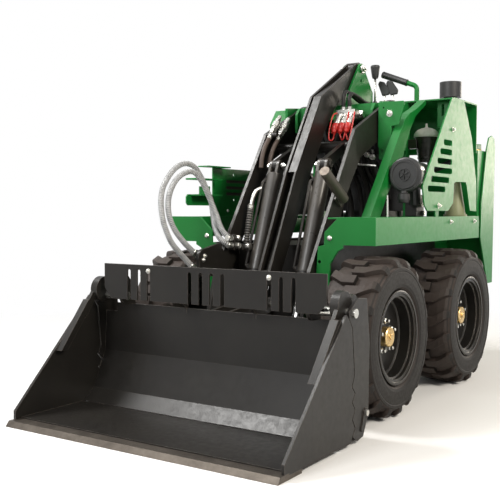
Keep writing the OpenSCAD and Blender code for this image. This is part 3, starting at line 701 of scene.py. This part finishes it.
# quick coupler: hexagon, sleeve between grooves, hexagon, nose
quickCoupler = [
    ([(0, 0), (0, 14.5), (1.5, 15.5), (20.5, 15.5), (22, 14.5), (22, 0)], 6),
    ([(22, 0), (22, 12), (26, 12), (27, 16.5), (38, 16.5), (39, 15), (41, 15), (42, 16.5), (52, 16.5), (53, 11.5),
      (58, 11.5), (58, 0)], 28),
    ([(58, 0), (58, 13), (59, 14), (73, 14), (74, 13), (74, 0)], 6),
    ([(74, 0), (74, 10), (92, 9.5), (94, 8), (94, 0)], 20)]
for route in dropRoutes:
    # the collar grips the hose's last 12 mm, and the coupler starts 30 mm past its end
    way = (Vector(route[0]) - Vector(route[1])).normalized()
    ends += hoseEnd(Vector(route[0]) - way * 0.012, way, 10.5)
    tip = Vector(route[0]) + way * 0.03
    ends += [turned(profile, tip, way, sides) for profile, sides in quickCoupler]
# adapters on the blocks that the hoses screw into
ends += [stub((-0.174, -0.378, 0.628), left, 11, 12, 13, 9.5),
         stub((-0.174, -0.382, 0.598), left, 13, 14, 16, 11),
         stub((-0.156, -0.336, 0.592), left, 15, 16, 18, 12, 24)]
elbowRoute = millimetres([(-170, -286, 752), (-168, -276, 786), (-163, -258, 816), (-151, -238, 828)])
ends += [hoseMesh(elbowRoute, 0.0085, zincSteel),
         stub((-0.1705, -0.29, 0.744), (0, 8, 36), 12.5, 12, 13, 11)]
addPiece("hose_fittings", ends, "arms", zincSteel, False)
print("hose ends done")


# couplers in front of the tower: plated bodies, red dust caps and their lanyards
couplers = {"x": (0.062, 0.09, 0.118), "root": (0.042, 1.138), "tip": (0.004, 1.082), "capMm": 16.5,
            "lanyard": 0.0032, "feed": 0.0085}
hexagon = [(4, 12.8), (6, 14.5), (18, 14.5), (20, 12.8), (20, 0), (4, 0)]
sleeveEnd = [(30, 12.8), (32, 14), (48, 14), (50, 12.8), (50, 0), (30, 0)]
c = couplers["capMm"]
dustCap = [(-14, 0), (-14, c), (-11, c + 1.2), (-8, c), (12, c), (14, c - 3), (20, c - 6), (28, c - 6.5), (28, 0)]
bodies, caps = [], []
for k, x in enumerate(couplers["x"]):
    root, tip = Vector((x, *couplers["root"])), Vector((x, *couplers["tip"]))
    along = (tip - root).normalized()
    bodies += [turned(hexagon, root, along, 6), turned(sleeveEnd, root, along, 28)]
    caps.append(turned(dustCap, tip, along, 28))
    end = tip + along * 0.026
    side = 1 if k else -1
    loop = [root + Vector((side * 0.014, -0.002, 0.01)), root + Vector((side * 0.022, -0.022, -0.004)),
            tip + Vector((side * 0.024, -0.01, -0.006)), end + Vector((side * 0.02, -0.006, -0.026)),
            end + Vector((side * 0.008, 0.0, -0.03)), end + Vector((0, 0.002, -0.01)), end]
    caps.append(hoseMesh(loop, couplers["lanyard"], redCap))
bodies.append(stub((0.132, 0.085, 1.141), left, 16.5, 18, 20, 15))
bodies += [stub((x, 0.075, 1.159), up, 12, 16, 17, 10) for x in (0.062, 0.09)]
addPiece("coupler_bodies", bodies, "chassis", zincSteel, False)
addPiece("red_dust_caps", caps, "chassis", redCap)
feeds = [millimetres([(62, 75, 1174), (62, 74, 1196), (60, 80, 1222), (58, 108, 1244), (62, 150, 1236),
                      (70, 210, 1212), (74, 300, 1201), (76, 352, 1200)]),
         millimetres([(90, 75, 1174), (90, 74, 1190), (88, 78, 1212), (86, 100, 1232), (90, 146, 1226),
                      (98, 206, 1206), (102, 300, 1200), (104, 352, 1200)])]
addPiece("feed_hoses", [hoseMesh(route, couplers["feed"], hoseRubber) for route in feeds], "chassis")
print("couplers done")


# hand rail's rubber grip, with a flared end towards the levers
rail = {"end": Vector((0.07, 0.45, 1.361)), "bend": Vector((0.236, 0.45, 1.296))}
grip = [(-1, 0), (-1, 14.5), (3, 16), (8, 15.2), (122, 14.5), (126, 15.8), (130, 14.5), (130, 10.5)]
addPiece("rail_grip", turned(grip, rail["end"], rail["bend"] - rail["end"], 36), "chassis", blackPlastic)


# flat plate across the axis "y" or "z": outline points in the other two directions, its edges softened
def plate(outline, axis, low, high, soft):
    bm = bmesh.new()
    rings = [[bm.verts.new((a, c, b) if axis == "y" else (a, b, c)) for a, b in outline] for c in (low, high)]
    for i in range(len(outline)):
        j = (i + 1) % len(outline)
        bm.faces.new((rings[0][i], rings[0][j], rings[1][j], rings[1][i]))
    bm.faces.new(rings[0])
    bm.faces.new(rings[1])
    bmesh.ops.recalc_face_normals(bm, faces=bm.faces)
    mesh = bpy.data.meshes.new("plate")
    bm.to_mesh(mesh)
    return bevelled(mesh, soft)


def rectangle(a0, b0, a1, b1):
    return [(a0, b0), (a1, b0), (a1, b1), (a0, b1)]


# block between two corners, in millimetres
def block(low, high, soft=2):
    (x0, y0, z0), (x1, y1, z1) = millimetres((low, high))
    return plate(rectangle(x0, y0, x1, y1), "z", z0, z1, 0.001 * soft)


# levers: plated sticks, a tapered knob and two flat fins
levers = {"stick": (0.045, 0.42), "finned": ((0.085, 0.44), (0.125, 0.44)), "deck": 1.219}
knob = turned([(0, 0), (0, 11.5), (3, 13.5), (6, 13.5), (7, 15), (50, 21.5), (55, 21.2), (60, 17.5), (60, 0)],
              (*levers["stick"], 1.342), up, 28)
finOutline = [(-0.012, 1.262), (-0.034, 1.318), (-0.026, 1.332), (-0.004, 1.326), (0.026, 1.284), (0.022, 1.266)]
fins = [plate([(x + a, z) for a, z in finOutline], "y", y - 0.006, y + 0.006, 0.004) for x, y in levers["finned"]]
sticks = [turned([(0, 0), (0, 5), (125, 5), (125, 0)], (*levers["stick"], levers["deck"]), up, 16)]
sticks += [turned([(0, 0), (0, 4.2), (48, 4.2), (48, 0)], (*place, levers["deck"]), up, 16)
           for place in levers["finned"]]
bellows = [(0, 0), (0, 22), (3, 22), (5, 17), (8, 18), (10, 13), (13, 14), (15, 9), (20, 8), (20, 0)]
boots = [turned(bellows, (*place, levers["deck"] - 0.0005), up, 28)
         for place in (levers["stick"], *levers["finned"])]
addPiece("lever_knobs", [knob] + fins + boots, "chassis", blackPlastic, False, ("control_levers",))
addPiece("lever_sticks", sticks, "chassis", zincSteel)

# air cleaner: a moulded cap with a six-armed star, its body in a strap, over-centre clips and the dust valve
cleaner = {"front": (0.39, -0.045, 0.878), "valve": (0.384, -0.03, 0.815), "arms": 6, "clips": 3, "clipTurn": -50,
           "duct": 0.0255}
# turns a ring made round the X axis to lie round the Y axis
quarterTurn = Matrix.Rotation(math.radians(90), 4, "Z")
shell = turned([(4.5, 0), (4.5, 20.5), (0, 21.5), (0, 24.5), (4.5, 25.5), (4.5, 49), (1.5, 50.5), (1.5, 55),
                (8.5, 58), (8.5, 62), (11, 67), (14, 69), (30, 69), (31, 56), (40, 55), (40.5, 56.5), (44, 56.5),
                (44.5, 55), (160, 55), (165, 51), (165, 0)],
               cleaner["front"], back, 72)
strap = turned([(41, 55), (41, 58), (69, 58), (69, 55)], cleaner["front"], back, 72)
star = ringOf(block((-1.5, -1.6, 3), (3.8, 1.6, 19.5), 0.8), cleaner["arms"], blackPlastic)
star.transform(Matrix.Translation(cleaner["front"]) @ quarterTurn)
valve = turned([(0, 0), (0, 14), (8, 15), (12, 23), (34, 24.5), (46, 21), (48, 16),
                (48, 0)], cleaner["valve"], (0, 0, -1), 28)
ductRoute = [(0.39, 0.06, 0.845), (0.39, 0.06, 0.815), (0.39, 0.062, 0.79), (0.39, 0.066, 0.762)]
duct = hoseMesh(ductRoute, cleaner["duct"], blackPlastic)
clip = ringOf(block((16, -8, 66), (46, 8, 70.5), 1), cleaner["clips"], zincSteel)
clip.transform(Matrix.Translation(cleaner["front"]) @ quarterTurn
               @ Matrix.Rotation(math.radians(cleaner["clipTurn"]), 4, "X"))
mount = block((320, -4, 858), (334.5, 24, 898), 1)
addPiece("air_cleaner_shell", [shell, star, valve, duct, mount], "chassis", blackPlastic, False, ("air_cleaner",))
addPiece("air_cleaner_strap", [strap, clip], "chassis", zincSteel, False)

# fuel filter: a smoked bowl under a white domed cap with a bleed spike
bowlPlace = (0.3, 0.41, 0.95)
bowl = turned([(0, 0), (0, 31), (3, 34.5), (14, 36), (16, 38.5), (22, 38.5), (24, 37), (100, 51), (106, 53),
               (111, 53), (111, 0)], bowlPlace, up, 64)
dome = turned([(110.5, 0), (110.5, 54), (116, 55.5), (124, 54.5), (134, 49), (143, 39), (150, 24), (153, 9),
               (156, 5.5), (171, 4), (172, 0)], bowlPlace, up, 64)
bracket = block((234, 360, 1010), (275, 380, 1050), 2)
addPiece("filter_bowl", [bowl, bracket], "chassis", smokedBowl, False, ("filter_canister",))
addPiece("filter_cap", dome, "chassis", whitePlastic)

# tank cap: white with a brass rim and a knurled edge
tankTop, knurls = (0.415, 0.735, 1.015), 24
knurl = ringOf(block((8, -1.5, 22.5), (27, 1.5, 24.5), 0.5), knurls, whitePlastic)
knurl.transform(Matrix.Translation(tankTop) @ Matrix.Rotation(math.radians(-90), 4, "Y"))
tankCap = turned([(6, 0), (6, 23.2), (26, 23.2), (30, 20), (30.5, 0)], tankTop, up, 48)
neck = turned([(-1, 0), (-1, 25.5), (6, 25.5), (6.5, 24), (6.5, 0)], tankTop, up, 48)
addPiece("tank_cap", [tankCap, knurl], "chassis", whitePlastic, False)
addPiece("tank_neck", neck, "chassis", hubGold)
print("engine bay fittings done")

# lift cylinders: gland, ports and the feed pipe along each barrel
lift = {"top": (-0.18, 0.92), "low": (-0.42, 0.27), "x": 0.112, "ports": (0.072, 0.44), "pipe": 0.006,
        "pipeSide": (-0.832, -0.555, 0.0), "nutOut": 0.03, "nutSize": 1.15}
liftWay = Vector((0, lift["low"][0] - lift["top"][0], lift["low"][1] - lift["top"][1])).normalized()
out = Vector(lift["pipeSide"])
out = (out - out.dot(liftWay) * liftWay).normalized()
glandProfile = [(448, 33.5), (450, 35), (458, 35), (460, 33.5), (461.5, 33.5), (470, 32), (474, 27), (474, 18),
                (448, 18)]
port = [(28, 0), (28, 11.5), (38, 11.5), (40, 9.5), (40, 0)]
pipePath = [(0.44, 0.03), (0.436, 0.0415), (0.42, 0.044), (0.25, 0.044), (0.1, 0.044), (0.078, 0.0415),
            (0.072, 0.03)]
for side, body in ((1, "lift_barrel_l"), (-1, "lift_barrel_r")):
    root = Vector((side * lift["x"], *lift["top"]))
    parts = [turned(glandProfile, root, liftWay, 48),
             hoseMesh([root + liftWay * d + out * o for d, o in pipePath], lift["pipe"], blackPaint)]
    parts += [turned(port, root + liftWay * d, out, 6) for d in lift["ports"]]
    addPiece("cylinder_fittings_" + body[-1], parts, body, blackPaint, False)
pinNuts = [((side * lift["x"] + w * lift["nutOut"], *lift["top"]), (w, 0, 0), lift["nutSize"])
           for side, w in ((-1, 1), (-1, -1), (1, -1))]
addPiece("lift_pin_nuts", scattered(hexHead(), pinNuts, zincSteel), "arms", None, False)

# lock bar: its sawn end is bare
barTop, barLow = Vector((0.239, -0.416, 0.881)), Vector((0.239, -0.262, 0.78))
sawnEnd = [(-0.4, 0), (-0.4, 20), (0.4, 20), (1, 19.2), (1, 4), (0.2, 3), (0.2, 0)]
addPiece("lock_bar_end", turned(sawnEnd, barTop, barTop - barLow, 40), "arms", sawnSteel, False)

# engine: crankcase, two finned cylinders with their rocker covers, and the fan housing at the back
engine = {"fins": 9, "pitch": 0.0095, "lean": math.radians(38), "first": 0.105, "apart": 0.012,
          "crank": (0.48, 0.7), "fan": (0, 0.555, 0.74), "vanes": 18}
heads, cores = [], []
for side in (1, -1):
    way = Vector((side * math.sin(engine["lean"]), 0, math.cos(engine["lean"])))
    centre = Vector((side * engine["apart"], *engine["crank"]))
    heads += [(centre + way * (engine["first"] + k * engine["pitch"]), way) for k in range(engine["fins"])]
    cores.append(turned([(60, 0), (60, 40), (186, 40), (186, 0)], centre, way, 32))
    cover = block((184, -36, -30), (206, 36, 30), 7)
    cover.transform(Matrix.Translation(centre) @ Vector((1, 0, 0)).rotation_difference(way).to_matrix().to_4x4())
    cores.append(cover)
fin = block((-1.5, -52, -50), (1.5, 52, 50), 1)
cores += [block((-200, 392, 600), (200, 590, 622), 4),
          block((-108, 420, 618), (108, 560, 790), 14),
          turned([(0, 0), (0, 112), (6, 118), (36, 118), (42, 110), (42, 88), (38, 85),
                  (38, 0)], engine["fan"], back, 64),
          turned([(0, 0), (0, 36), (4, 39), (70, 39), (78, 34), (78, 0)],
                 (-0.108, 0.47, 0.69), right, 32)]
vanes = ringOf(block((36, -3.5, 30), (43.5, 3.5, 84), 1), engine["vanes"], darkSteel)
vanes.transform(Matrix.Translation(engine["fan"]) @ quarterTurn)
addPiece("engine_cases", cores + [vanes], "chassis", darkSteel, False, ("engine_block",))
addPiece("engine_fins", scattered(fin, heads, castAlloy), "chassis", None, False)
print("engine done")

# behind the arms: a dark pressed plate with ribs in front of the engine, put there as painted shade for the dark
# bay behind the arms
screen = {"front": 0.346, "back": 0.3495, "half": 0.22, "low": 0.735, "high": 1.098, "ribHalf": 0.011,
          "margin": 0.05, "ribs": (-0.15, -0.075, 0.0, 0.075, 0.15)}
screenParts = [plate(rectangle(-screen["half"], screen["low"], screen["half"], screen["high"]), "y",
                     screen["front"], screen["back"], 0.001)]
for x in screen["ribs"]:
    rib = rectangle(x - screen["ribHalf"], screen["low"] + screen["margin"],
                    x + screen["ribHalf"], screen["high"] - screen["margin"])
    screenParts.append(plate(rib, "y", screen["front"] - 0.005, screen["front"] + 0.001, 0.003))
addPiece("engine_screen", screenParts, "chassis", darkSteel, False)

# hoses down the tower's bay, in three rows, each wandering to one side on its way
bay = {"radius": 0.0115, "row": 0.02, "drift": 0.018,
       "tops": (-0.15, -0.118, -0.084, -0.046, 0.01, 0.04, 0.072, 0.104, 0.136, 0.16)}
bayHoses = []
for k, x in enumerate(bay["tops"]):
    row, drift = bay["row"] * (k % 3), bay["drift"] * ((k % 4) - 1.5)
    route = [(x, 0.118 + row, 1.118), (x, 0.11 + row, 1.07), (x + drift, 0.132 + row, 1),
             (x + 1.6 * drift, 0.19 + row, 0.92), (x + 1.2 * drift, 0.262 + row * 0.6, 0.85),
             (x + drift, 0.3 + row * 0.4, 0.77), (x + drift, 0.306 + row * 0.4, 0.69)]
    bayHoses.append(hoseMesh(route, bay["radius"], hoseRubber))
addPiece("bay_hoses", bayHoses, "chassis", hoseRubber)

# valve bank: spools in front, ports on top, plugs and a pipe before it
spools = {"x": (-0.03, 0.022, 0.074, 0.126, 0.178), "ports": (-0.01, 0.04, 0.09, 0.14), "pipe": 0.0045,
          "plugs": ((0.008, 0.1, 0.978), (0.16, 0.11, 0.972), (0.184, 0.112, 0.962))}
bank = [block((-70, 262, 905), (205, 330, 965), 4), block((-50, 275, 962), (185, 320, 990), 4)]
bank += [stub((x, 0.27, 0.936), front, 17, 36, 38, 14, 28) for x in spools["x"]]
addPiece("valve_bank", bank, "chassis", darkSteel, False)
port = [(0, 0), (0, 11), (12, 11), (13, 9), (20, 9), (20, 0)]
plug = [(0, 0), (0, 12.5), (10, 12.5), (12, 9), (22, 9), (22, 0)]
pipeRoute = [(0.1, 0.1, 0.936), (0.13, 0.096, 0.932), (0.17, 0.094, 0.928), (0.205, 0.096, 0.924)]
bankFittings = [turned(port, (x, 0.298, 0.988), up, 6) for x in spools["ports"]]
bankFittings += [turned(plug, place, front, 6) for place in spools["plugs"]]
bankFittings.append(hoseMesh(pipeRoute, spools["pipe"], zincSteel))
addPiece("valve_fittings", bankFittings, "chassis", zincSteel, False)

# dark blocks that close the view past the tower, painted shade for the machine's dark inside, shaped as the
# engine's sill and an oil tank on the right
shadeSill = block((-236, 300, 602), (236, 378, 705), 6)
tank = block((-430, 170, 716), (-250, 420, 915), 14)
filler = turned([(-1, 0), (-1, 26), (4, 26), (6, 22), (22, 22), (25, 19), (25, 0)], (-0.375, 0.33, 0.915), up, 32)
addPiece("oil_tank", [shadeSill, tank, filler], "chassis", darkSteel, False)

# louvres over the right panel's slots
louvre = {"front": -0.07, "back": 0.113, "z": (0.866, 0.838, 0.811)}
hood = [(-0.4565, -0.01), (-0.4565, 0.012), (-0.46, 0.012), (-0.47, -0.006), (-0.47, -0.01)]
hoods = [plate([(x, z + rise) for x, rise in hood], "y", louvre["front"], louvre["back"], 0.001)
         for z in louvre["z"]]
addPiece("side_louvres", hoods, "chassis", handledAndLitPaint, False)

# small things under the air cleaner: a stay rod and pipe ends
stay = [(0, 0), (0, 4.5), (60, 4), (85, 2.5), (85, 0)]
stays = [turned(stay, (0.35, -0.108, 0.712), up, 12)]
stays += [stub((0.388, y, z), left, 11, 12, 13, 9)
          for y, z in ((0.103, 0.792), (0.124, 0.761), (0.15, 0.727))]
addPiece("pipe_ends", stays, "chassis", zincSteel, False)
addPiece("pipe_manifold", block((340, 85, 712.5), (389, 170, 802), 4), "chassis", darkSteel, False)
print("bay done")


# light: soft lamps; a low one behind the machine's left gives its side a pale sheen, the key is high beside it
lamps = [
    {"name": "sheen", "at": (1.45, 4.8, 1.5), "aim": (0.4, 0.3, 0.9), "size": 1.5, "power": 66,
     "tint": (1, 0.9, 0.76)},
    {"name": "key", "at": (4.2, -1.2, 3.6), "aim": (0.2, 0, 0.6), "size": 1.5, "power": 210,
     "tint": (1, 0.93, 0.82)},
    {"name": "front", "at": (-0.6, -5.0, 3.0), "aim": (0, 0, 0.6), "size": 1.6, "power": 105, "tint": (1, 1, 1)},
    {"name": "top", "at": (-2.3, -1.5, 4.2), "aim": (0, -0.3, 0.6), "size": 1.3, "power": 190,
     "tint": (1, 0.99, 0.97)},
]
for lamp in lamps:
    data = bpy.data.lights.new(lamp["name"], "AREA")
    data.shape = "SQUARE"
    data.size = lamp["size"]
    data.energy = lamp["power"]
    data.color = lamp["tint"]
    obj = bpy.data.objects.new(lamp["name"], data)
    obj.location = lamp["at"]
    obj.rotation_euler = (Vector(lamp["aim"]) - Vector(lamp["at"])).to_track_quat("-Z", "Y").to_euler()
    obj.visible_camera = False
    bpy.context.collection.objects.link(obj)


# 1 where the background is looked at, straight or in a reflection or through glass
def lookedAt(tree):
    path = addNode(tree, "ShaderNodeLightPath").outputs
    seen = addNode(tree, "ShaderNodeMath", {"operation": "ADD", "use_clamp": True},
                   {0: path["Is Camera Ray"], 1: path["Is Glossy Ray"]})
    both = addNode(tree, "ShaderNodeMath", {"operation": "ADD", "use_clamp": True},
                   {0: seen.outputs[0], 1: path["Is Transmission Ray"]})
    return both.outputs[0]


def addWorld():
    world = bpy.data.worlds.new("studio")
    world.use_nodes = True
    tree = world.node_tree
    tree.nodes.clear()
    plain = addNode(tree, "ShaderNodeBackground", {"Color": (1.0, 0.97, 0.94, 1), "Strength": 0.26})
    white = addNode(tree, "ShaderNodeBackground", {"Color": (1, 1, 1, 1), "Strength": 1.0})
    mixed = addNode(tree, "ShaderNodeMixShader",
                    links={0: lookedAt(tree), 1: plain.outputs[0], 2: white.outputs[0]})
    addNode(tree, "ShaderNodeOutputWorld", links={"Surface": mixed.outputs[0]})
    bpy.context.scene.world = world


# pale floor that keeps the shadow near the machine and fades to plain white further out
def addFloor(size=14.0, keeps=1.5, white=3.0):
    bm = bmesh.new()
    bmesh.ops.create_grid(bm, x_segments=1, y_segments=1, size=size)
    mesh = bpy.data.meshes.new("floor")
    bm.to_mesh(mesh)
    floor = bpy.data.objects.new("floor", mesh)
    bpy.context.collection.objects.link(floor)
    floor.location = (0, 0, -0.0005)
    material, tree, surface, place = newMaterial("paleFloor", Roughness=0.9)
    surface.inputs["Base Color"].default_value = (0.92, 0.92, 0.92, 1)
    far = addNode(tree, "ShaderNodeVectorMath", {"operation": "LENGTH"}, {0: place})
    fade = addNode(tree, "ShaderNodeMath", {"operation": "MULTIPLY"},
                   {0: spread(tree, far.outputs["Value"], 0.0, 1.0, keeps, white), 1: lookedAt(tree)})
    glow = addNode(tree, "ShaderNodeEmission", {"Color": (1, 1, 1, 1), "Strength": 1.0})
    mixed = addNode(tree, "ShaderNodeMixShader",
                    links={0: fade.outputs[0], 1: surface.outputs[0], 2: glow.outputs[0]})
    output = next(n for n in tree.nodes if n.type == "OUTPUT_MATERIAL")
    tree.links.new(mixed.outputs[0], output.inputs["Surface"])
    mesh.materials.append(material)


addWorld()
addFloor()
bpy.context.scene.view_settings.view_transform = "Standard"

print("scene done")
